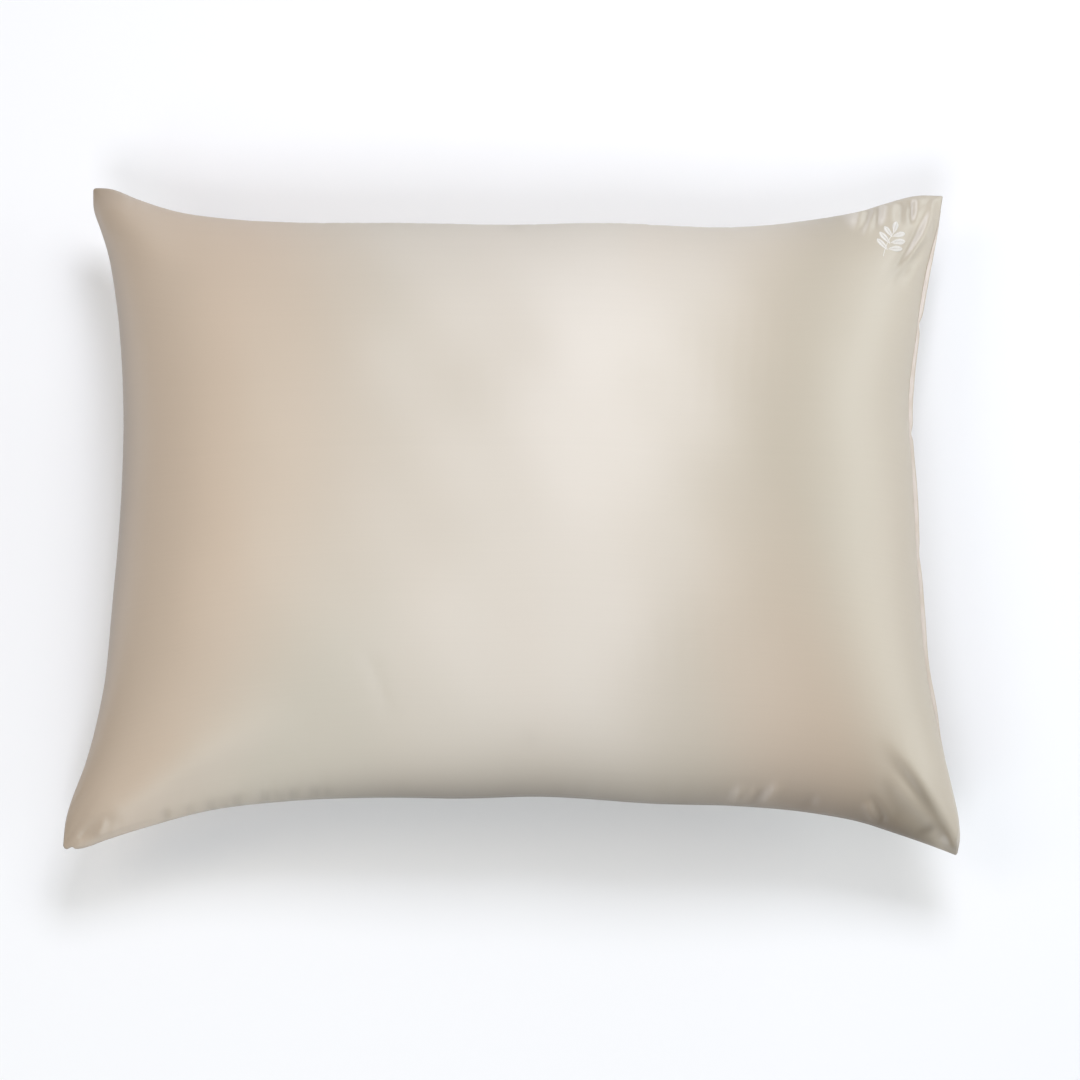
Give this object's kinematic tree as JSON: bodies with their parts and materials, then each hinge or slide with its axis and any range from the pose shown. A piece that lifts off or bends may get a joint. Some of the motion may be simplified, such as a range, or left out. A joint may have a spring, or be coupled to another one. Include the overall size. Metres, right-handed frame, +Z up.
{
  "type": "pillowcase",
  "caption": "A satin pillowcase on its pillow, lying on its back, with a full crown, drawn-in sides and a narrow strip along its opening.",
  "frame": {"origin": "on the surface that the case rests on, under the middle of its bounding box", "axes": "+X along the long side, towards the opening; +Y along the short side; +Z up, out of the front"},
  "size_m": [0.6482, 0.4988, 0.1818],
  "materials": {
    "case_satin": "champagne satin with a soft sheen",
    "strip_satin": "the same satin, folded and pressed",
    "thread": "fine glossy sewing thread"
  },
  "bodies": {
    "root": {"filled_case": "case_satin", "guard_strip": "strip_satin"}
  },
  "joints": []
}
